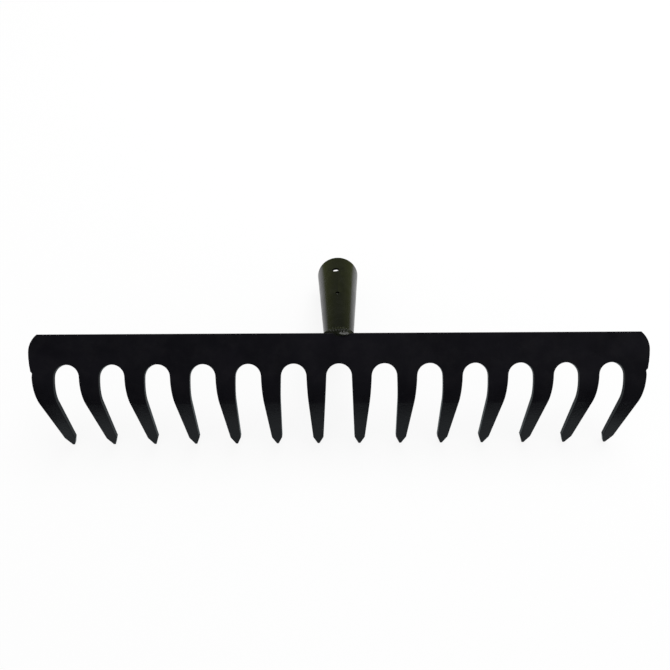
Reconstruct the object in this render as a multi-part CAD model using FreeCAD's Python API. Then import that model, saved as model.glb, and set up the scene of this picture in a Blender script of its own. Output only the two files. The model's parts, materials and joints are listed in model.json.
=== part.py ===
import FreeCAD, Part
import math
import os

# Head of a garden rake: one stamped and bent steel plate with teeth, and a rolled
# conical socket for a wooden handle, welded to the back of the plate.
# Millimetres. The head lies as it does on a bench with its face up: on the tips of its
# teeth and on the rim of the socket's mouth. +X runs along it, +Z is up, and +Y points
# back, to the socket's side. The origin is the centre of the socket's mouth, where the
# handle goes in.

V = FreeCAD.Vector
X_AXIS = V(1, 0, 0)
Y_AXIS = V(0, 1, 0)

# ---- tooth plate: the row of teeth
TOOTH_COUNT = 14
TOOTH_PITCH = 27.0
SHEET = 3.0  # thickness of the plate
GULLET_RADIUS = 7.6  # round top of each gap between two teeth
SPINE = 18.1  # solid steel between the top edge and the gullets
TOOTH_TAPER = 0.092  # loss of width per millimetre along a tooth
LEG_ANGLE = 46.0  # how far the teeth are bent back, in degrees
BEND_RADIUS = 24.0  # of the front face, in the bend
LEG_LENGTH = 43.5  # straight part of a tooth below the bend, tip included
TIP_LENGTH = 7.0
TIP_WIDTH = 1.3  # the point is left slightly blunt
EDGE_SOFT = 0.4  # rolled edge that the press tool leaves

# ---- tooth plate: its two ends
END_OVERHANG = 8.9  # from the middle of the last tooth to the end of the plate
CORNER_RADIUS = 13.5  # upper corner
CORNER_DROP = 10.5  # from the top edge down to where the end stands upright
END_BOW_RADIUS = 55.0  # the end leans in again below that
NOTCH_DROP = 22.0  # from the top edge down to the small step above the last tooth
NOTCH_STEP = 1.0
LAST_TOOTH_EXTRA = 1.0  # the last tooth is wider on its outer side, at its root only

# ---- handle socket: a cone rolled from sheet
SOCKET_ANGLE = 30.3  # of its axis above the level, in degrees
SOCKET_LENGTH = 99.0  # along the axis, from the plate's back face to the mouth
MOUTH_RADIUS = 14.8  # outside
ROOT_RADIUS = 8.5  # outside, where the axis meets the plate
SOCKET_WALL = 1.5
SEAM_GAP = 0.9  # the rolled edges don't quite meet, on the underside
FOOT_MARGIN = 1.9  # steel left between the socket's lowest point and the gullet
RIM_SOFT = 0.35

# ---- two fixing holes on the upper side of the socket
SCREW_HOLE_RADIUS = 2.5
SCREW_HOLE_FROM_MOUTH = 19.0
SCREW_HOLE_SIDE = -1.6  # punched a little off the centre line
NAIL_HOLE_RADIUS = 1.4
NAIL_HOLE_FROM_MOUTH = 52.0
NAIL_HOLE_SIDE = -0.5

# ---- welds
TOP_WELD_FLARE = 1.0  # past the socket's side, along the plate's top edge
TOP_WELD_RISE = 0.6  # over the socket's upper edge
TOP_WELD_SPILL = 0.7  # over the plate's front face
TOP_WELD_INSET = 0.6  # of the bead's middle, ahead of the plate's back face
UNDER_WELD_RADIUS = 1.4
UNDER_WELD_START = 2.2  # from the plate's top edge down to where the lower weld starts

# ---- derived, in a working frame with the plate upright, its teeth down, and the front
# ---- of its top edge at zero
LEAN = math.radians(LEG_ANGLE)
FLANK_SLOPE = TOOTH_TAPER / 2
BEND_ARC = BEND_RADIUS * LEAN
BEND_DROP = BEND_RADIUS * math.sin(LEAN)


def flank_angles(slope):
    """Slants of a tooth's side in front view, at its root and on its leg.

    One arc joins them over the bend, where the side's own taper stays even.
    """
    leg = math.atan(slope / math.cos(LEAN))
    return 2 * math.atan(slope * BEND_ARC / BEND_DROP) - leg, leg


ROOT_ANGLE = flank_angles(FLANK_SLOPE)[0]
BEND_Z = -SPINE - GULLET_RADIUS * (1 - math.sin(ROOT_ANGLE))
ROOT_HALF = TOOTH_PITCH / 2 - GULLET_RADIUS * math.cos(ROOT_ANGLE)
SHOULDER_HALF = ROOT_HALF - FLANK_SLOPE * (BEND_ARC + LEG_LENGTH - TIP_LENGTH)
LEG_DOWN = V(0, math.sin(LEAN), -math.cos(LEAN))
LEG_NORMAL = V(0, math.cos(LEAN), math.sin(LEAN))
LEG_TOP = V(0, BEND_RADIUS * (1 - math.cos(LEAN)), BEND_Z - BEND_DROP)
LAST_TOOTH_X = TOOTH_PITCH * (TOOTH_COUNT - 1) / 2
END_X = LAST_TOOTH_X + END_OVERHANG
MARGIN = 5.0  # how far a cutting tool reaches past what it cuts
THROUGH = Y_AXIS * (2 * MARGIN + LEG_TOP.y + LEG_LENGTH)
TINY = 1e-6

RISE = math.radians(SOCKET_ANGLE)
AXIS_OUT = V(0, math.cos(RISE), math.sin(RISE))
AXIS_UP = V(0, -math.sin(RISE), math.cos(RISE))  # square to the axis, to its upper side
SOCKET_SLOPE = (MOUTH_RADIUS - ROOT_RADIUS) / SOCKET_LENGTH
# the cone meets the upright back face in an ellipse, from FOOT_DROP under its axis
# to HEEL_RISE over it
FOOT_DROP = ROOT_RADIUS / (math.cos(RISE) + SOCKET_SLOPE * math.sin(RISE))
HEEL_RISE = ROOT_RADIUS / (math.cos(RISE) - SOCKET_SLOPE * math.sin(RISE))
ROOT_CENTRE = V(0, SHEET, -SPINE + FOOT_MARGIN + FOOT_DROP)
HEEL_TOP = ROOT_CENTRE.z + HEEL_RISE
MOUTH_CENTRE = ROOT_CENTRE + AXIS_OUT * SOCKET_LENGTH
CONE_START = -ROOT_RADIUS - MARGIN  # ahead of the plate, before the end is cut to it

# the bench touches the back corner of each tip and the lowest point of the mouth's rim
TIP_CORNER = LEG_TOP + LEG_DOWN * LEG_LENGTH + LEG_NORMAL * SHEET
RIM_LOW = MOUTH_CENTRE - AXIS_UP * MOUTH_RADIUS
BENCH_ANGLE = math.degrees(math.atan2(RIM_LOW.z - TIP_CORNER.z, RIM_LOW.y - TIP_CORNER.y))


def line(a, b):
    return Part.LineSegment(a, b).toShape()


def arc(a, b, c):
    return Part.Arc(a, b, c).toShape()


def prism(edges, sweep):
    return Part.Face(Part.Wire(edges)).extrude(sweep)


def front(x, z):
    """A point of the front view, placed ahead of the plate."""
    return V(x, -MARGIN, z)


def bent_half_sheet():
    """The right half of the blank after bending, before any gap is cut."""

    def ring(radius, angle):
        return V(0, BEND_RADIUS - radius * math.cos(angle), BEND_Z - radius * math.sin(angle))

    inner = BEND_RADIUS - SHEET
    tip = LEG_TOP + LEG_DOWN * LEG_LENGTH
    top_front = V(0, 0, 0)
    top_back = V(0, SHEET, 0)
    edges = [
        line(top_front, ring(BEND_RADIUS, 0)),
        arc(ring(BEND_RADIUS, 0), ring(BEND_RADIUS, LEAN / 2), ring(BEND_RADIUS, LEAN)),
        line(ring(BEND_RADIUS, LEAN), tip),
        line(tip, tip + LEG_NORMAL * SHEET),
        line(tip + LEG_NORMAL * SHEET, ring(inner, LEAN)),
        arc(ring(inner, LEAN), ring(inner, LEAN / 2), ring(inner, 0)),
        line(ring(inner, 0), top_back),
        line(top_back, top_front),
    ]
    return prism(edges, X_AXIS * (END_X + MARGIN))


def flank(tooth_x, side, extra=0.0):
    """Front view points of one tooth's side: root, mid bend, end of bend, past the tip.

    The extra width at the root has faded out where the tooth ends.
    """
    slope = FLANK_SLOPE + extra / (BEND_ARC + LEG_LENGTH)
    root_angle, leg_angle = flank_angles(slope)
    root = tooth_x + side * (ROOT_HALF + extra)
    bend_end = root - side * slope * BEND_ARC
    chord = math.hypot(slope * BEND_ARC, BEND_DROP)
    bulge = chord / 2 * math.tan((leg_angle - root_angle) / 4)
    turn = (leg_angle + root_angle) / 2
    past = (LEG_LENGTH + MARGIN) * math.cos(LEAN)
    return [
        front(root, BEND_Z),
        front(
            (root + bend_end) / 2 + side * bulge * math.cos(turn),
            BEND_Z - BEND_DROP / 2 - bulge * math.sin(turn),
        ),
        front(bend_end, LEG_TOP.z),
        front(bend_end - side * past * math.tan(leg_angle), LEG_TOP.z - past),
    ]


def gap_cutter(x):
    """The space between two teeth, cut straight through from the front."""
    left = flank(x - TOOTH_PITCH / 2, 1)
    right = flank(x + TOOTH_PITCH / 2, -1)
    edges = [
        arc(left[0], front(x, -SPINE), right[0]),
        arc(*right[:3]),
        line(right[2], right[3]),
        line(right[3], left[3]),
        line(left[3], left[2]),
        arc(left[2], left[1], left[0]),
    ]
    return prism(edges, THROUGH)


def end_cutter():
    """What the press trims off the right end: rounded corner, bow, small step, last flank."""

    def corner(turn):
        inset = CORNER_RADIUS * (1 - math.cos(turn))
        return front(END_X - inset, -CORNER_DROP + CORNER_RADIUS * math.sin(turn))

    def bow(drop):
        inset = END_BOW_RADIUS - math.sqrt(END_BOW_RADIUS**2 - drop**2)
        return front(END_X - inset, -CORNER_DROP - drop)

    top_turn = math.asin(CORNER_DROP / CORNER_RADIUS)
    bow_drop = NOTCH_DROP - CORNER_DROP
    outer = flank(LAST_TOOTH_X, 1, LAST_TOOTH_EXTRA)
    notch = front(bow(bow_drop).x - NOTCH_STEP, -NOTCH_DROP - NOTCH_STEP)
    above = front(corner(top_turn).x, MARGIN)
    far_below = front(END_X + MARGIN, outer[3].z)
    far_above = front(END_X + MARGIN, MARGIN)
    edges = [
        line(above, corner(top_turn)),
        arc(corner(top_turn), corner(top_turn / 2), corner(0)),
        arc(corner(0), bow(bow_drop / 2), bow(bow_drop)),
        line(bow(bow_drop), notch),
        line(notch, outer[0]),
        arc(*outer[:3]),
        line(outer[2], outer[3]),
        line(outer[3], far_below),
        line(far_below, far_above),
        line(far_above, above),
    ]
    return prism(edges, THROUGH)


def tip_cutter(tooth_x, side):
    """Trims one side of a tooth to its point, square to the leg."""
    shoulder = LEG_TOP + LEG_DOWN * (LEG_LENGTH - TIP_LENGTH) - LEG_NORMAL * MARGIN
    slope = (SHOULDER_HALF - TIP_WIDTH / 2) / TIP_LENGTH

    def at(run, reach=0.0):
        out = SHOULDER_HALF - slope * run + reach
        return shoulder + X_AXIS * (tooth_x + side * out) + LEG_DOWN * run

    past = TIP_LENGTH + TIP_WIDTH
    corners = [at(-MARGIN), at(past), at(past, 2 * MARGIN)]
    edges = [line(corners[i], corners[(i + 1) % 3]) for i in range(3)]
    return prism(edges, LEG_NORMAL * (SHEET + 2 * MARGIN))


def is_skin(face, depth):
    """True for faces of the sheet this deep: 0 for its front, SHEET for its back."""
    surface = face.Surface
    if isinstance(surface, Part.Cylinder):
        level = abs(surface.Axis.x) > 1 - TINY
        return level and abs(surface.Radius - BEND_RADIUS + depth) < TINY
    if isinstance(surface, Part.Plane):
        middle = face.CenterOfMass
        upright = abs(surface.Axis.y) > 1 - TINY and abs(middle.y - depth) < TINY
        inward = (middle - LEG_TOP).dot(LEG_NORMAL) - depth
        return upright or (abs(surface.Axis.dot(LEG_NORMAL)) > 1 - TINY and abs(inward) < TINY)
    return False


def soften(solid, depth):
    """Rounds every edge where the front or the back of the sheet ends."""
    edges = [edge for face in solid.Faces if is_skin(face, depth) for edge in face.Edges]
    seen = [edge.hashCode() for edge in edges]
    outline = [edge for edge in edges if seen.count(edge.hashCode()) == 1]
    return solid.makeFillet(EDGE_SOFT, [edge for edge in outline if edge.BoundBox.XMax > TINY])


def tooth_plate():
    middle = (TOOTH_COUNT - 1) / 2
    teeth = [TOOTH_PITCH * (i - middle) for i in range(TOOTH_COUNT)]
    gaps = [x + TOOTH_PITCH / 2 for x in teeth[:-1]]
    cutters = [gap_cutter(x) for x in gaps if x > -TOOTH_PITCH]
    cutters += [tip_cutter(x, side) for x in teeth for side in (-1, 1) if x > -TOOTH_PITCH]
    half = bent_half_sheet().cut(cutters + [end_cutter()])
    half = soften(soften(half, 0), SHEET)
    plate = half.fuse(half.mirror(V(0, 0, 0), X_AXIS))
    return plate.removeSplitter()


def along_socket(run, up=0.0, side=0.0):
    """A point by its run from the plate along the socket's axis, over it and beside it."""
    return ROOT_CENTRE + AXIS_OUT * run + AXIS_UP * up + X_AXIS * side


def cone(inset, start):
    """The socket's cone, this much inside its outer surface, from start to the mouth."""
    first = ROOT_RADIUS + SOCKET_SLOPE * start - inset
    length = SOCKET_LENGTH - start
    return Part.makeCone(first, MOUTH_RADIUS - inset, length, along_socket(start), AXIS_OUT)


def behind_plate(solid):
    """What is left of a solid behind the plane of the plate's back face."""
    box = solid.BoundBox
    depth = box.YMax - SHEET + MARGIN
    keep = Part.makeBox(box.XLength + 2 * MARGIN, depth, box.ZLength + 2 * MARGIN)
    keep.translate(V(box.XMin - MARGIN, SHEET, box.ZMin - MARGIN))
    return solid.common(keep)


def filled_socket():
    return behind_plate(cone(0, CONE_START))


def hole_punch(radius, from_mouth, side):
    """Goes from the socket's middle out through its upper wall."""
    run = SOCKET_LENGTH - from_mouth
    return Part.makeCylinder(radius, MOUTH_RADIUS + MARGIN, along_socket(run, 0, side), AXIS_UP)


def seam():
    """The open joint along the underside, where the rolled edges face each other."""
    side = -SEAM_GAP / 2
    reach = -MOUTH_RADIUS - MARGIN
    corners = [
        along_socket(CONE_START, 0, side),
        along_socket(SOCKET_LENGTH + MARGIN, 0, side),
        along_socket(SOCKET_LENGTH + MARGIN, reach, side),
        along_socket(CONE_START, reach, side),
    ]
    edges = [line(corners[i], corners[(i + 1) % 4]) for i in range(4)]
    return prism(edges, X_AXIS * SEAM_GAP)


def handle_socket():
    shell = cone(0, CONE_START).cut(cone(SOCKET_WALL, CONE_START))
    rims = [
        edge
        for edge in shell.Edges
        if abs((edge.CenterOfMass - MOUTH_CENTRE).dot(AXIS_OUT)) < TINY
        and isinstance(edge.Curve, Part.Circle)
    ]
    shell = behind_plate(shell.makeFillet(RIM_SOFT, rims))
    screw_hole = hole_punch(SCREW_HOLE_RADIUS, SCREW_HOLE_FROM_MOUTH, SCREW_HOLE_SIDE)
    nail_hole = hole_punch(NAIL_HOLE_RADIUS, NAIL_HOLE_FROM_MOUTH, NAIL_HOLE_SIDE)
    return shell.cut([seam(), screw_hole, nail_hole])


def top_weld(plate, socket_body):
    """The bead over the top: it fills the open end of the cone above the plate's edge."""
    middle = SHEET - TOP_WELD_INSET
    bead = Part.makeSphere(1.0)
    stretch = FreeCAD.Matrix()
    stretch.scale(ROOT_RADIUS + TOP_WELD_FLARE, middle + TOP_WELD_SPILL, HEEL_TOP + TOP_WELD_RISE)
    bead = bead.transformGeometry(stretch)
    bead.translate(V(0, middle, 0))
    return bead.cut([plate, socket_body])


def under_weld(top_bead, socket_body):
    """The bead round the lower side, where the cone stands on the plate's back face."""
    middle = (HEEL_RISE - FOOT_DROP) / 2
    half_height = (HEEL_RISE + FOOT_DROP) / 2
    reach = ROOT_RADIUS + SOCKET_SLOPE * middle * math.sin(RISE)
    half_width = math.sqrt(reach**2 - (middle * math.cos(RISE)) ** 2)
    centre = ROOT_CENTRE + V(0, 0, middle)
    foot = Part.Ellipse(centre + V(0, 0, half_height), centre + V(half_width, 0, 0), centre)
    start = math.acos((-UNDER_WELD_START - centre.z) / half_height)
    path = Part.ArcOfEllipse(foot, start, 2 * math.pi - start).toShape()
    ends = [path.valueAt(path.FirstParameter), path.valueAt(path.LastParameter)]
    tangent = path.tangentAt(path.FirstParameter)
    section = Part.Wire(Part.makeCircle(UNDER_WELD_RADIUS, ends[0], tangent))
    bead = Part.Wire(path).makePipeShell([section], True, False)
    bead = bead.fuse([Part.makeSphere(UNDER_WELD_RADIUS, end) for end in ends])
    return behind_plate(bead).cut([top_bead, socket_body])


def main():
    os.makedirs("parts", exist_ok=True)
    plate = tooth_plate()
    socket_body = filled_socket()
    top_bead = top_weld(plate, socket_body)
    nodes = {
        "tooth_plate": plate,
        "handle_socket": handle_socket(),
        "top_weld": top_bead,
        "under_weld": under_weld(top_bead, socket_body),
    }
    for name, shape in nodes.items():
        shape.translate(-MOUTH_CENTRE)
        shape.rotate(V(0, 0, 0), X_AXIS, -BENCH_ANGLE)
        shape.exportStep(f"parts/{name}.step")
        print(name, "valid" if shape.isValid() else "NOT VALID", round(shape.Volume, 1), "mm3")


main()
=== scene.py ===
import json
import math
import bmesh
import bpy
from mathutils import Matrix, Vector, noise


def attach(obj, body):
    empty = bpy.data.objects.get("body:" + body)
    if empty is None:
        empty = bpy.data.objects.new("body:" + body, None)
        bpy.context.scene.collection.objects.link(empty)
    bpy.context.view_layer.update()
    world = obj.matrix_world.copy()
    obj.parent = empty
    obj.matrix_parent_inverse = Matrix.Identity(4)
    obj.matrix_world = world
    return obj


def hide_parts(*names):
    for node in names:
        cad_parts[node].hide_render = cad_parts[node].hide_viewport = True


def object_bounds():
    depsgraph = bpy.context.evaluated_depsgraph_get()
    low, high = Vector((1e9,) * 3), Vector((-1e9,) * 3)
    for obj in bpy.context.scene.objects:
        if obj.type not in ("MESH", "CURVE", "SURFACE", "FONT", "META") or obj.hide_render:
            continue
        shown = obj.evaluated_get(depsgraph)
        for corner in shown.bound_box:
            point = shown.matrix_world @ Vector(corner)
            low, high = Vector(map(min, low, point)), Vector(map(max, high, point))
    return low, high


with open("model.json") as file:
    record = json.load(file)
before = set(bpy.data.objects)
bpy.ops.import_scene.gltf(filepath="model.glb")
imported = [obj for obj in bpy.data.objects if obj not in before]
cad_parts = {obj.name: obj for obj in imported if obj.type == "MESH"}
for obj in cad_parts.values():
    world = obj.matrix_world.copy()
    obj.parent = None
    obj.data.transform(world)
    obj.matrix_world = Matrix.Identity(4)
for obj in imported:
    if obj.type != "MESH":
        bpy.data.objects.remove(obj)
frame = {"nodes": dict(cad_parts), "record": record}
cad_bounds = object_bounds()

# Garden rake head in black lacquer, lying face up on a white table: on the tips of its
# teeth and on the rim of its socket. Metres; angles in radians.

MM = 0.001

# ---- layout of the head that the welds follow
SHEET = 3.0 * MM  # thickness of the plate
SOCKET_RISE = math.radians(30.3)  # of the socket's axis off the square to the plate
SOCKET_LENGTH = 99.0 * MM
MOUTH_RADIUS = 14.8 * MM
ROOT_RADIUS = 8.5 * MM
SOCKET_WALL = 1.5 * MM
ROOT_DROP = 6.708 * MM  # from the plate's top edge down to the socket's axis
SOCKET_SLOPE = (MOUTH_RADIUS - ROOT_RADIUS) / SOCKET_LENGTH

# ---- frozen ripples of both welds
RIPPLE_PITCH = 1.55 * MM
RIPPLE_DEPTH = 0.17  # share of the bead's own radius
RIPPLE_LEAN = 1.7  # above 1, each ripple rises slowly and falls quickly

# ---- top weld
TOP_HALF_LENGTH = 9.1 * MM
TOP_HALF_DEPTH = 3.1 * MM
TOP_HEIGHT = 4.0 * MM
TOP_MIDDLE = 2.4 * MM  # behind the plate's front face
TOP_TOE = 1.7  # how quickly the bead thins out towards its two ends
TOP_BOW = 0.9  # of each ripple, in ripples
TOP_BOW_TURN = 0.6 * math.pi  # where round the bead the bow is fullest
TOP_FRAY = 0.5  # unevenness of each ripple's edge, in ripples
TOP_FRAY_SIZE = 7 * MM
TOP_LUMP_DEPTH = 0.12
TOP_LUMP_SIZE = 2.5 * MM
TOP_STEPS = 150
TOP_ROUND_STEPS = 72
WELD_BITE = 0.6  # share of the socket's wall that the weld may melt into
BACK_CLEARANCE = 0.02 * MM  # of weld metal held back at the plate

# ---- the top weld ends in a shallow crater on the front edge of the plate
CRATER_SIDE = 3.2 * MM
CRATER_UP = -0.3 * MM
CRATER_HALF_LENGTH = 3.0 * MM
CRATER_HALF_HEIGHT = 0.9 * MM
CRATER_TILT = math.radians(28)
CRATER_STAND_OUT = 0.55 * MM
CRATER_HOLLOW = 0.10 * MM
CRATER_BLEND = 1.6  # the crater has faded into the bead at this multiple of its size

# ---- lower weld
UNDER_RADIUS = 1.4 * MM
UNDER_START = 2.2 * MM  # from the plate's top edge down to where the bead starts
UNDER_BOW = 0.35
UNDER_BOW_TURN = math.pi / 4
UNDER_LUMP_DEPTH = 0.14
UNDER_LUMP_SIZE = 2 * MM
UNDER_STEPS = 300
UNDER_ROUND_STEPS = 40

# ---- the head's own directions: along the row of teeth, square to the plate, up the plate
socket_mount = next(m for m in frame["record"]["mounts"] if m["name"] == "handle_socket")
MOUTH = Vector(socket_mount["pos_m"])
OUT = Vector(socket_mount["axis"])
ALONG = Vector((1, 0, 0))
OVER = ALONG.cross(OUT)
BACK = OUT * math.cos(SOCKET_RISE) - OVER * math.sin(SOCKET_RISE)
UP = OUT * math.sin(SOCKET_RISE) + OVER * math.cos(SOCKET_RISE)
ROOT = MOUTH - OUT * SOCKET_LENGTH
TOP_EDGE = ROOT - BACK * SHEET + UP * ROOT_DROP


def at(along, back, up):
    """A point from the middle of the top edge of the plate's front face."""
    return TOP_EDGE + ALONG * along + BACK * back + UP * up


# ======================================================== shader building blocks


def plug(tree, socket, value):
    """Links a socket to another one, or sets it to a plain value."""
    if isinstance(value, bpy.types.NodeSocket):
        tree.links.new(value, socket)
    else:
        socket.default_value = value


def fill(tree, made, inputs):
    for name, value in inputs.items():
        plug(tree, made.inputs[name.replace("_", " ")], value)
    return made


def node(tree, kind, **inputs):
    return fill(tree, tree.nodes.new(kind), inputs)


def place(tree, group, **inputs):
    """Puts a node group into a tree and gives back its outputs."""
    made = tree.nodes.new("ShaderNodeGroup")
    made.node_tree = group
    return fill(tree, made, inputs).outputs


def maths(tree, operation, *values, clamp=False):
    made = tree.nodes.new("ShaderNodeMath")
    made.operation = operation
    made.use_clamp = clamp
    for socket, value in zip(made.inputs, values):
        plug(tree, socket, value)
    return made.outputs[0]


def vector_maths(tree, operation, *values, scale=None):
    made = tree.nodes.new("ShaderNodeVectorMath")
    made.operation = operation
    for socket, value in zip(made.inputs, values):
        plug(tree, socket, value)
    if scale is not None:
        plug(tree, made.inputs["Scale"], scale)
    return made.outputs["Value" if operation == "DOT_PRODUCT" else "Vector"]


def spread(tree, value, low, high):
    """Maps a range of a value softly onto 0 to 1."""
    made = node(tree, "ShaderNodeMapRange", Value=value, From_Min=low, From_Max=high)
    made.interpolation_type = "SMOOTHSTEP"
    return made.outputs["Result"]


def cloud(tree, vector, size, detail=2.0, roughness=0.5):
    """Soft noise whose lumps are about this large."""
    made = node(tree, "ShaderNodeTexNoise", Vector=vector, Detail=detail, Roughness=roughness)
    plug(tree, made.inputs["Scale"], maths(tree, "DIVIDE", 1.0, size))
    return made.outputs["Fac"]


def blend_colour(tree, factor, first, second):
    made = tree.nodes.new("ShaderNodeMix")
    made.data_type = "RGBA"
    plug(tree, made.inputs["Factor"], factor)
    plug(tree, made.inputs["A"], first)
    plug(tree, made.inputs["B"], second)
    return made.outputs["Result"]


def own_place(tree):
    return tree.nodes.new("ShaderNodeTexCoord").outputs["Object"]


def facing(tree):
    return tree.nodes.new("ShaderNodeNewGeometry").outputs["Normal"]


def draw_out(tree, where, direction, share):
    """Shortens positions along a direction, so that a pattern on them runs out in lines."""
    run = vector_maths(tree, "DOT_PRODUCT", where, direction)
    shorten = maths(tree, "MULTIPLY", run, -share)
    drawn = vector_maths(tree, "SCALE", direction, scale=shorten)
    return vector_maths(tree, "ADD", where, drawn)


def start_group(name, inputs, outputs):
    """A node group with these number and direction inputs and number outputs."""
    tree = bpy.data.node_groups.new(name, "ShaderNodeTree")
    for label, default in inputs.items():
        is_direction = isinstance(default, Vector)
        kind = "NodeSocketVector" if is_direction else "NodeSocketFloat"
        socket = tree.interface.new_socket(label, in_out="INPUT", socket_type=kind)
        socket.default_value = default
    for label in outputs:
        tree.interface.new_socket(label, in_out="OUTPUT", socket_type="NodeSocketFloat")
    entry = tree.nodes.new("NodeGroupInput").outputs
    leave = tree.nodes.new("NodeGroupOutput").inputs
    return tree, entry, leave


# ======================================================== marks in the paint

COAT_PATCH = 22 * MM  # size of the patches where the coat lies thicker
EDGE_PATCH = 5 * MM
DUST_PATCH = 9 * MM
SPECK_SPACING = 2.6 * MM
SPECK_PATCH = 4 * MM
LINE_STRETCH = 0.975  # rolled lines are 40 times as long as they are wide
HAIRLINE_WIDTH = 0.8 * MM
HAIRLINE_STRETCH = 0.95
HAIRLINE_BEND_SIZE = 30 * MM
HAIRLINE_BEND = 4 * MM
SMEAR_PATCH = 14 * MM


def lacquer_skin_group():
    """Orange peel of sprayed lacquer, with fine grain, and where the coat lies thicker."""
    tree, entry, leave = start_group(
        "lacquer_skin",
        {"Peel Size": 1.6 * MM, "Grain Size": 0.35 * MM, "Grain": 0.3},
        ["Height", "Coat"],
    )
    where = own_place(tree)
    peel = cloud(tree, where, entry["Peel Size"], detail=1.5, roughness=0.45)
    grain = cloud(tree, where, entry["Grain Size"], detail=3.0, roughness=0.6)
    coat = cloud(tree, where, COAT_PATCH, detail=3.0, roughness=0.55)
    plug(tree, leave["Height"], maths(tree, "MULTIPLY_ADD", grain, entry["Grain"], peel))
    plug(tree, leave["Coat"], spread(tree, coat, low=0.3, high=0.7))
    return tree


def thin_edge_group():
    """Where the wet coat drew back from a sharp edge."""
    tree, entry, leave = start_group("thin_edge", {"Width": 0.7 * MM}, ["Mask"])
    rounded = node(tree, "ShaderNodeBevel", Radius=entry["Width"])
    rounded.samples = 6
    match = vector_maths(tree, "DOT_PRODUCT", rounded.outputs["Normal"], facing(tree))
    bare = spread(tree, match, low=0.995, high=0.90)
    patches = cloud(tree, own_place(tree), EDGE_PATCH, detail=4.0)
    patchy = spread(tree, patches, low=0.35, high=0.65)
    plug(tree, leave["Mask"], maths(tree, "MULTIPLY", bare, patchy))
    return tree


def settled_dust_group():
    """Fine dust, thickest on what faces up, with a few single specks."""
    tree, entry, leave = start_group("settled_dust", {"Amount": 0.5}, ["Mask"])
    where = own_place(tree)
    rise = vector_maths(tree, "DOT_PRODUCT", facing(tree), Vector((0, 0, 1)))
    upward = spread(tree, rise, low=-0.2, high=1.0)
    patches = cloud(tree, where, DUST_PATCH, detail=5.0, roughness=0.65)
    film = maths(tree, "MULTIPLY", spread(tree, patches, low=0.4, high=0.75), 0.45)
    speck = node(tree, "ShaderNodeTexVoronoi", Vector=where, Scale=1 / SPECK_SPACING)
    dot = spread(tree, speck.outputs["Distance"], low=0.10, high=0.04)
    rare = maths(tree, "GREATER_THAN", cloud(tree, where, SPECK_PATCH), 0.55)
    settled = maths(tree, "MAXIMUM", film, maths(tree, "MULTIPLY", dot, rare))
    amount = maths(tree, "MULTIPLY", upward, entry["Amount"])
    plug(tree, leave["Mask"], maths(tree, "MULTIPLY", settled, amount, clamp=True))
    return tree


def drawn_lines_group():
    """Fine lines of the rolled sheet, which the lacquer levels but doesn't hide."""
    tree, entry, leave = start_group(
        "drawn_lines",
        {"Direction": Vector((1, 0, 0)), "Width": 0.5 * MM},
        ["Height"],
    )
    squeezed = draw_out(tree, own_place(tree), entry["Direction"], LINE_STRETCH)
    lines = cloud(tree, squeezed, entry["Width"], detail=3.0, roughness=0.6)
    plug(tree, leave["Height"], lines)
    return tree


def rub_marks_group():
    """Dull hairlines and smears from packing and handling."""
    tree, entry, leave = start_group(
        "rub_marks",
        {"Direction": Vector((1, 0, 0)), "Amount": 0.5},
        ["Mask"],
    )
    where = own_place(tree)
    bend = node(tree, "ShaderNodeTexNoise", Vector=where, Scale=1 / HAIRLINE_BEND_SIZE, Detail=1.0)
    wander = vector_maths(tree, "SCALE", bend.outputs["Color"], scale=HAIRLINE_BEND)
    bent = vector_maths(tree, "ADD", where, wander)
    squeezed = draw_out(tree, bent, entry["Direction"], HAIRLINE_STRETCH)
    hair = spread(tree, cloud(tree, squeezed, HAIRLINE_WIDTH), low=0.66, high=0.74)
    patches = cloud(tree, where, SMEAR_PATCH, detail=4.0, roughness=0.6)
    smear = maths(tree, "MULTIPLY", spread(tree, patches, low=0.5, high=0.75), 0.5)
    both = maths(tree, "MULTIPLY_ADD", hair, 0.6, smear)
    plug(tree, leave["Mask"], maths(tree, "MULTIPLY", both, entry["Amount"], clamp=True))
    return tree


LACQUER_SKIN = lacquer_skin_group()
THIN_EDGE = thin_edge_group()
SETTLED_DUST = settled_dust_group()
DRAWN_LINES = drawn_lines_group()
RUB_MARKS = rub_marks_group()

# ======================================================== finishes

DUST_COLOUR = (0.10, 0.095, 0.09, 1)
DEEP_COAT = 0.72  # share of the colour left where the coat lies thick
COAT_LEVELLING = -0.07  # change of roughness where the coat lies thick
RUB_DULLNESS = 0.16
DUST_DULLNESS = 0.45


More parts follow.
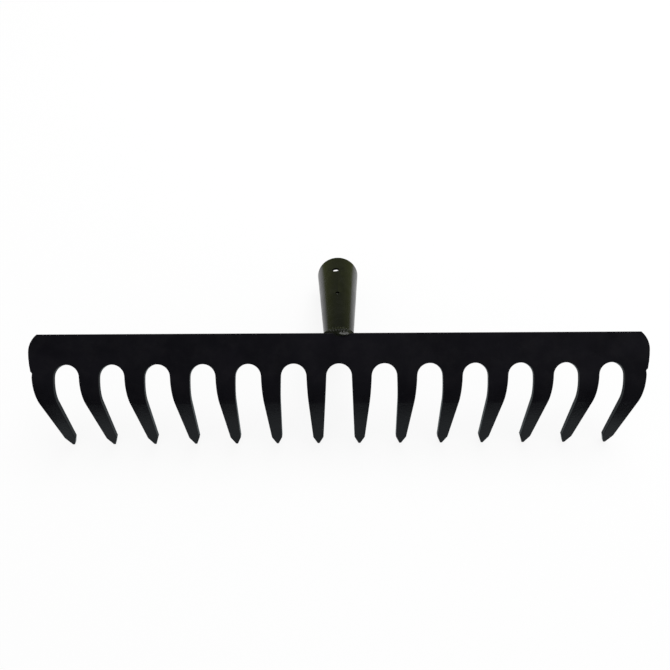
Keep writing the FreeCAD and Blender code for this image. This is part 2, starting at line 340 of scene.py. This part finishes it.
def lacquer(
    name,
    colour,
    thin_colour,
    direction,
    shine_level,
    roughness,
    peel,
    lines,
    dust,
    rubs,
    relief,
):
    """Black air-dried lacquer on steel; each finish gives its own coat and marks."""
    material = bpy.data.materials.new(name)
    material.use_nodes = True
    tree = material.node_tree
    shader = tree.nodes["Principled BSDF"]
    skin = place(tree, LACQUER_SKIN, Peel_Size=peel)
    edge = place(tree, THIN_EDGE)["Mask"]
    dusty = place(tree, SETTLED_DUST, Amount=dust)["Mask"]
    drawn = place(tree, DRAWN_LINES, Direction=direction)["Height"]
    rubbed = place(tree, RUB_MARKS, Direction=direction, Amount=rubs)["Mask"]

    deep = tuple(DEEP_COAT * channel for channel in colour)
    coat = blend_colour(tree, skin["Coat"], (*colour, 1), (*deep, 1))
    coat = blend_colour(tree, edge, coat, (*thin_colour, 1))
    coat = blend_colour(tree, dusty, coat, DUST_COLOUR)
    plug(tree, shader.inputs["Base Color"], coat)

    dull = maths(tree, "MULTIPLY_ADD", skin["Coat"], COAT_LEVELLING, roughness)
    dull = maths(tree, "MULTIPLY_ADD", rubbed, RUB_DULLNESS, dull)
    dull = maths(tree, "MULTIPLY_ADD", dusty, DUST_DULLNESS, dull)
    plug(tree, shader.inputs["Roughness"], dull)

    height = maths(tree, "MULTIPLY_ADD", drawn, lines, skin["Height"])
    bump = node(tree, "ShaderNodeBump", Strength=1.0, Distance=relief, Height=height)
    plug(tree, shader.inputs["Normal"], bump.outputs["Normal"])
    shader.inputs["Specular IOR Level"].default_value = shine_level
    return material


def plate_lacquer():
    return lacquer(
        "plate_lacquer",
        colour=(0.0068, 0.0065, 0.0088),
        thin_colour=(0.016, 0.015, 0.016),
        direction=ALONG,
        shine_level=0.09,
        roughness=0.30,
        peel=1.7 * MM,
        lines=0.35,
        dust=0.05,
        rubs=0.8,
        relief=0.06 * MM,
    )


def socket_lacquer():
    return lacquer(
        "socket_lacquer",
        colour=(0.0056, 0.0060, 0.0045),
        thin_colour=(0.016, 0.016, 0.012),
        direction=OUT,
        shine_level=0.09,
        roughness=0.27,
        peel=2.2 * MM,
        lines=0.5,
        dust=0.1,
        rubs=0.9,
        relief=0.03 * MM,
    )


def weld_lacquer():
    return lacquer(
        "weld_lacquer",
        colour=(0.0098, 0.0110, 0.0066),
        thin_colour=(0.020, 0.020, 0.016),
        direction=ALONG,
        shine_level=0.20,
        roughness=0.20,
        peel=0.9 * MM,
        lines=0.1,
        dust=0.15,
        rubs=0.5,
        relief=0.04 * MM,
    )


# ======================================================== mesh building blocks


def new_piece(name, shape, material):
    """Turns a finished shape into an object of the scene."""
    mesh = bpy.data.meshes.new(name)
    shape.to_mesh(mesh)
    shape.free()
    mesh.materials.append(material)
    piece = bpy.data.objects.new(name, mesh)
    bpy.context.scene.collection.objects.link(piece)
    return piece


def skin_over(rings, first_cap=None, last_cap=None):
    """A skin over rings of points; an end with a cap is drawn in to that one point."""
    shape = bmesh.new()
    rows = [[shape.verts.new(point) for point in ring] for ring in rings]
    count = len(rows[0])
    for low, high in zip(rows, rows[1:]):
        for i in range(count):
            j = (i + 1) % count
            shape.faces.new((low[i], low[j], high[j], high[i]))
    for cap, row in ((first_cap, rows[0][::-1]), (last_cap, rows[-1])):
        if cap is None:
            continue
        end = shape.verts.new(cap)
        for i in range(count):
            shape.faces.new((row[i], row[(i + 1) % count], end))
    for face in shape.faces:
        face.smooth = True
    return shape


# ======================================================== welds


def crescent(travel, lag):
    """Height of the frozen ripples, 0 to 1: a slow rise and a quick fall."""
    phase = (travel / RIPPLE_PITCH - lag) % 1.0
    return math.sin(math.pi * phase**RIPPLE_LEAN) ** 2


def lump(point, size):
    """Unevenness of a bead made by hand, 0 to 1."""
    return 0.5 + 0.5 * noise.noise(point / size)


def lump_round(travel, angle, size):
    """The same unevenness at a place along the bead and an angle round it."""
    return lump(Vector((travel, math.cos(angle) * MM, math.sin(angle) * MM)), size)


def out_of_socket(point):
    """Keeps weld metal out of the socket's hollow: it stops in the wall or at the plate."""
    run = (point - ROOT).dot(OUT)
    foot = ROOT + OUT * run
    radius = (point - foot).length
    inside = ROOT_RADIUS + SOCKET_SLOPE * run - SOCKET_WALL * WELD_BITE
    behind = (point - TOP_EDGE).dot(BACK) - SHEET
    if behind <= 0 or radius >= inside:
        return point
    if behind < inside - radius:
        return point - BACK * (behind + BACK_CLEARANCE)
    return foot + (point - foot) * (inside / radius)


def crater(point):
    """Levels the end of the bead to a smooth tilted dish."""
    side = point.x - CRATER_SIDE
    up = (point - TOP_EDGE).dot(UP) - CRATER_UP
    back = (point - TOP_EDGE).dot(BACK)
    away = math.hypot(side / CRATER_HALF_LENGTH, up / CRATER_HALF_HEIGHT)
    if back > TOP_MIDDLE or away > CRATER_BLEND:
        return point
    fade = min(1.0, (CRATER_BLEND - away) / (CRATER_BLEND - 1))
    hollow = CRATER_HOLLOW * (1 - min(1.0, away) ** 2)
    dish = -CRATER_STAND_OUT + up * math.tan(CRATER_TILT) + hollow
    return point + BACK * (dish - back) * fade


def top_weld_bead():
    """Fills the open end of the cone over the plate's top edge, side to side."""
    rings = []
    for i in range(1, TOP_STEPS):
        turn = math.pi * i / TOP_STEPS
        side = -TOP_HALF_LENGTH * math.cos(turn)
        ring = []
        for k in range(TOP_ROUND_STEPS):
            angle = 2 * math.pi * k / TOP_ROUND_STEPS
            fray = TOP_FRAY * lump(Vector((side, k, 0)), TOP_FRAY_SIZE)
            lag = TOP_BOW * math.cos(angle - TOP_BOW_TURN) + fray
            ripple = RIPPLE_DEPTH * (1 - crescent(side, lag))
            uneven = TOP_LUMP_DEPTH * lump_round(side, angle, TOP_LUMP_SIZE)
            swell = math.sin(turn) ** TOP_TOE * (1 - (ripple + uneven) * math.sin(turn))
            back = TOP_MIDDLE + TOP_HALF_DEPTH * swell * math.cos(angle)
            up = TOP_HEIGHT * swell * math.sin(angle)
            ring.append(crater(out_of_socket(at(side, back, up))))
        rings.append(ring)
    ends = [at(side * TOP_HALF_LENGTH, TOP_MIDDLE, 0) for side in (-1, 1)]
    return skin_over(rings, *ends)


def under_weld_path():
    """Points round the cone's foot on the plate's back face, below the top bead."""
    lean = SOCKET_SLOPE * math.sin(SOCKET_RISE)
    foot_drop = ROOT_RADIUS / (math.cos(SOCKET_RISE) + lean)
    heel_rise = ROOT_RADIUS / (math.cos(SOCKET_RISE) - lean)
    middle = (heel_rise - foot_drop) / 2
    half_height = (heel_rise + foot_drop) / 2
    reach = ROOT_RADIUS + lean * middle
    half_width = math.sqrt(reach**2 - (middle * math.cos(SOCKET_RISE)) ** 2)
    centre = middle - ROOT_DROP
    start = math.acos((-UNDER_START - centre) / half_height)
    points = []
    for i in range(UNDER_STEPS + 1):
        angle = start + i / UNDER_STEPS * 2 * (math.pi - start)
        up = centre + half_height * math.cos(angle)
        points.append(at(half_width * math.sin(angle), SHEET, up))
    return points


def under_weld_bead():
    """Runs round the cone's foot with rounded ends."""
    points = under_weld_path()
    length = sum((b - a).length for a, b in zip(points, points[1:]))
    rings = []
    for i in range(1, UNDER_STEPS):
        travel = i / UNDER_STEPS * length
        to_end = min(travel, length - travel)
        tangent = (points[i + 1] - points[i - 1]).normalized()
        outward = tangent.cross(BACK)
        round_end = math.sqrt(1 - max(0.0, 1 - to_end / UNDER_RADIUS) ** 2)
        ring = []
        for k in range(UNDER_ROUND_STEPS):
            angle = 2 * math.pi * k / UNDER_ROUND_STEPS
            lag = UNDER_BOW * math.cos(angle - UNDER_BOW_TURN)
            ripple = RIPPLE_DEPTH * (1 - crescent(travel, lag))
            uneven = UNDER_LUMP_DEPTH * lump_round(travel, angle, UNDER_LUMP_SIZE)
            radius = UNDER_RADIUS * round_end * (1 - ripple - uneven)
            around = outward * math.cos(angle) + BACK * math.sin(angle)
            ring.append(points[i] + around * radius)
        rings.append(ring)
    return skin_over(rings, points[0], points[-1])


def weld(name, shape, stands_for, material):
    bmesh.ops.recalc_face_normals(shape, faces=shape.faces)
    bead = new_piece(name, shape, material)
    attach(bead, "root")
    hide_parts(stands_for)


# ======================================================== table, room, light, camera

WHITE = (1, 1, 1, 1)
PAPER_COLOUR = (0.86, 0.86, 0.86, 1)
FLOOR_SIZE = 8.0
FLOOR_GLOW = 0.87  # share of the table's white that no shadow takes away
# painted shade: mirrored views see the table under and in front of the teeth in soft bluish shade
FRONT_SHADE = (0.50, 0.58, 0.59, 1)
SHADE_START = -0.062
SHADE_END = -0.088

# The painted reflection room, a glowing shell that only mirrored views see, starts at a blunt oval
# edge close round the head and opens out over it.
PAPER_HALF_LENGTH = 0.25
PAPER_HALF_DEPTH = 0.097
PAPER_MIDDLE = Vector((0, -0.064, 0))
ROOM_RADIUS = 3.0
ROOM_OPENING = 0.7  # below 1, the room opens out quickly from its low edge
ROOM_RISE = 1.5
ROOM_STEPS = 20
ROOM_ROUND_STEPS = 64
# painted reflection colours of the glowing shell: dark overhead, olive wall behind, grey to the
# right
ROOM_DARK = (0.014, 0.014, 0.018, 1)
ROOM_BACK_LOW = (0.34, 0.38, 0.15, 1)
ROOM_BACK_HIGH = (0.24, 0.27, 0.165, 1)
ROOM_SIDE = (0.12, 0.12, 0.12, 1)
ROOM_SIDE_WAY = Vector((0.50, -0.42, 0.76))

WORLD_LIGHT = 0.62
KEY_PLACE = Vector((0.30, 0.50, 1.15))
KEY_AIM = Vector((0, -0.08, 0))
KEY_WIDTH = 0.9
KEY_DEPTH = 0.7
KEY_POWER = 12.0  # watts

CAMERA_DISTANCE = 328 * MM
CAMERA_SIDE = -2.3 * MM
CAMERA_UP = -1.2 * MM
CAMERA_ROLL = math.radians(-0.3)
CAMERA_LENS = 29.75  # on a sensor as wide as the next value, both in millimetres
CAMERA_SENSOR = 36


def seen_directly(tree):
    """1 for rays from the camera and for mirrored and refracted views, 0 for light."""
    path = tree.nodes.new("ShaderNodeLightPath").outputs
    mirrored = maths(tree, "MAXIMUM", path["Is Glossy Ray"], path["Is Transmission Ray"])
    return maths(tree, "MAXIMUM", path["Is Camera Ray"], mirrored)


def bare_material(name):
    material = bpy.data.materials.new(name)
    material.use_nodes = True
    material.node_tree.nodes.clear()
    return material


def white_table():
    """White paper that keeps a share of the head's shadow."""
    material = bare_material("white_table")
    tree = material.node_tree
    across = node(tree, "ShaderNodeSeparateXYZ", Vector=own_place(tree)).outputs["Y"]
    # painted shade: only glossy rays see this bluish darkening of the table's glow
    in_shade = spread(tree, across, low=SHADE_START, high=SHADE_END)
    mirrored = tree.nodes.new("ShaderNodeLightPath").outputs["Is Glossy Ray"]
    painted_shade = maths(tree, "MULTIPLY", mirrored, in_shade)
    white = blend_colour(tree, painted_shade, WHITE, FRONT_SHADE)
    paper = node(tree, "ShaderNodeBsdfDiffuse", Color=PAPER_COLOUR)
    glow = node(tree, "ShaderNodeEmission", Color=white, Strength=1.0)
    share = maths(tree, "MULTIPLY", seen_directly(tree), FLOOR_GLOW)
    mix = node(tree, "ShaderNodeMixShader", Fac=share)
    tree.links.new(paper.outputs[0], mix.inputs[1])
    tree.links.new(glow.outputs[0], mix.inputs[2])
    node(tree, "ShaderNodeOutputMaterial", Surface=mix.outputs[0])
    return material


def table_top():
    shape = bmesh.new()
    bmesh.ops.create_grid(shape, x_segments=1, y_segments=1, size=FLOOR_SIZE / 2)
    table = new_piece("table_top", shape, white_table())
    table.location = (0, 0, cad_bounds[0][2])


def painted_reflection_room_finish():
    """Painted reflection: a glow that is dark overhead, with a faint olive wall behind and a faint
    grey one to the right.
    """
    material = bare_material("painted_reflection_room")
    tree = material.node_tree
    way = vector_maths(tree, "NORMALIZE", own_place(tree))
    to_top = vector_maths(tree, "DOT_PRODUCT", way, Vector((0, 0, 1)))
    to_back = vector_maths(tree, "DOT_PRODUCT", way, Vector((0, 1, 0)))
    to_side = vector_maths(tree, "DOT_PRODUCT", way, ROOM_SIDE_WAY)
    height = spread(tree, to_top, low=0.03, high=0.11)
    wall = blend_colour(tree, height, ROOM_BACK_LOW, ROOM_BACK_HIGH)
    colour = blend_colour(tree, spread(tree, to_back, low=0.2, high=0.9), ROOM_DARK, wall)
    colour = blend_colour(tree, spread(tree, to_side, low=0.80, high=1.0), colour, ROOM_SIDE)
    glow = node(tree, "ShaderNodeEmission", Color=colour, Strength=1.0)
    node(tree, "ShaderNodeOutputMaterial", Surface=glow.outputs[0])
    return material


def blunt(value):
    """Pushes an oval out towards its corners."""
    return math.copysign(math.sqrt(abs(value)), value)


def painted_reflection_room():
    """Painted reflection: a glowing shell round the lit paper, standing in for an unlit room,
    which only mirrored views see.
    """
    rings = []
    for i in range(ROOM_STEPS):
        share = i / ROOM_STEPS
        turn = share * math.pi / 2
        open_out = math.sin(turn) ** ROOM_OPENING
        rise = Vector((0, 0, ROOM_RADIUS * share**ROOM_RISE))
        ring = []
        for k in range(ROOM_ROUND_STEPS):
            angle = 2 * math.pi * k / ROOM_ROUND_STEPS
            along = math.cos(angle)
            across = math.sin(angle)
            near = Vector((blunt(along) * PAPER_HALF_LENGTH, blunt(across) * PAPER_HALF_DEPTH, 0))
            far = Vector((along, across, 0)) * ROOM_RADIUS
            ring.append(near.lerp(far, open_out) * math.cos(turn) + rise)
        rings.append(ring)
    shape = skin_over(rings, last_cap=(0, 0, ROOM_RADIUS))
    room = new_piece("painted_reflection_room", shape, painted_reflection_room_finish())
    room.location = PAPER_MIDDLE + Vector((0, 0, cad_bounds[0][2]))
    room.visible_camera = False
    room.visible_diffuse = False
    room.visible_transmission = False
    room.visible_shadow = False


def key_light():
    lamp = bpy.data.lights.new("key_light", "AREA")
    lamp.shape = "RECTANGLE"
    lamp.size = KEY_WIDTH
    lamp.size_y = KEY_DEPTH
    lamp.energy = KEY_POWER
    box = bpy.data.objects.new("key_light", lamp)
    box.location = KEY_PLACE
    box.rotation_euler = (KEY_AIM - KEY_PLACE).to_track_quat("-Z", "Y").to_euler()
    bpy.context.scene.collection.objects.link(box)


def daylight():
    """Even light from all sides, which looks white where it is seen directly."""
    world = bpy.data.worlds.new("white_surroundings")
    world.use_nodes = True
    tree = world.node_tree
    strength = maths(tree, "MULTIPLY_ADD", seen_directly(tree), 1 - WORLD_LIGHT, WORLD_LIGHT)
    fill(tree, tree.nodes["Background"], {"Color": WHITE, "Strength": strength})
    bpy.context.scene.world = world


def camera():
    """Looks square at the plate's face."""
    lens = bpy.data.cameras.new("camera")
    lens.sensor_width = CAMERA_SENSOR
    lens.lens = CAMERA_LENS
    lens.clip_start = 0.01
    view = bpy.data.objects.new("camera", lens)
    square_on = Matrix((ALONG, UP, -BACK)).transposed()
    turned = square_on @ Matrix.Rotation(CAMERA_ROLL, 3, "Z")
    stand = at(CAMERA_SIDE, -CAMERA_DISTANCE, CAMERA_UP)
    view.matrix_world = Matrix.Translation(stand) @ turned.to_4x4()
    bpy.context.scene.collection.objects.link(view)
    bpy.context.scene.camera = view


# ======================================================== assembly


def finish_cad_node(name, material):
    mesh = frame["nodes"][name].data
    mesh.materials.clear()
    mesh.materials.append(material)


finish_cad_node("tooth_plate", plate_lacquer())
finish_cad_node("handle_socket", socket_lacquer())
weld_finish = weld_lacquer()
weld("top_weld_bead", top_weld_bead(), "top_weld", weld_finish)
weld("under_weld_bead", under_weld_bead(), "under_weld", weld_finish)

table_top()
painted_reflection_room()
daylight()
key_light()
camera()
bpy.context.scene.view_settings.view_transform = "Standard"
